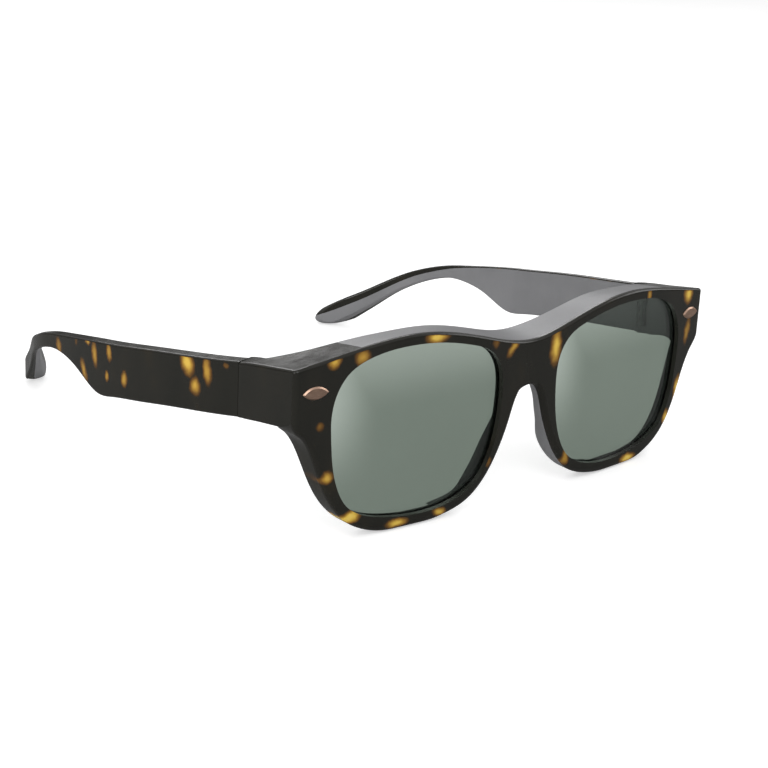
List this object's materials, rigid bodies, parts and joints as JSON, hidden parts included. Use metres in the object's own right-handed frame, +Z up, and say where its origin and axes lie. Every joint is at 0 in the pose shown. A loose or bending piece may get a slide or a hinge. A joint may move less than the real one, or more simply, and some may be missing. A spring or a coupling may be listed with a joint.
{
  "type": "fitover sunglasses",
  "caption": "Fitover sunglasses: a deep tortoiseshell front over a grey inner moulding, grey-green lenses and wide folding temples with bent tips.",
  "frame": {"origin": "on the surface under the middle of the whole frame, temples open, standing on the rims and temple tips", "axes": "+Z up, -Y the way the wearer looks, +X towards the wearer's left"},
  "size_m": [0.1572, 0.161, 0.0509],
  "materials": {
    "tortoiseshell_plastic": "glossy dark tortoiseshell with amber flecks",
    "grey_plastic": "satin grey",
    "tinted_lens": "polished grey-green tint",
    "hinge_steel": "satin steel",
    "ornament_metal": "polished antique bronze"
  },
  "bodies": {
    "front": {"front_frame": "tortoiseshell_plastic", "front_liner": "grey_plastic", "left_lens": "tinted_lens", "left_corner_ornament": "ornament_metal", "left_hinge_eye": "hinge_steel", "left_hinge_eye_screw": "hinge_steel", "right_lens": "tinted_lens", "right_corner_ornament": "ornament_metal", "right_hinge_eye": "hinge_steel", "right_hinge_eye_screw": "hinge_steel"},
    "left_temple": {"left_temple_shell": "tortoiseshell_plastic", "left_temple_liner": "grey_plastic", "left_hinge_fork": "hinge_steel", "left_hinge_pivot_screw": "hinge_steel"},
    "right_temple": {"right_temple_shell": "tortoiseshell_plastic", "right_temple_liner": "grey_plastic", "right_hinge_fork": "hinge_steel", "right_hinge_pivot_screw": "hinge_steel"}
  },
  "joints": [
    {"name": "left_temple_fold", "type": "hinge", "parent": "front", "child": "left_temple", "pos_m": [0.0692, -0.0561, 0.0363], "axis": [0, 0, 1], "range_deg": [0, 90]},
    {"name": "right_temple_fold", "type": "hinge", "parent": "front", "child": "right_temple", "pos_m": [-0.0692, -0.0561, 0.0363], "axis": [0, 0, -1], "range_deg": [0, 86]}
  ]
}
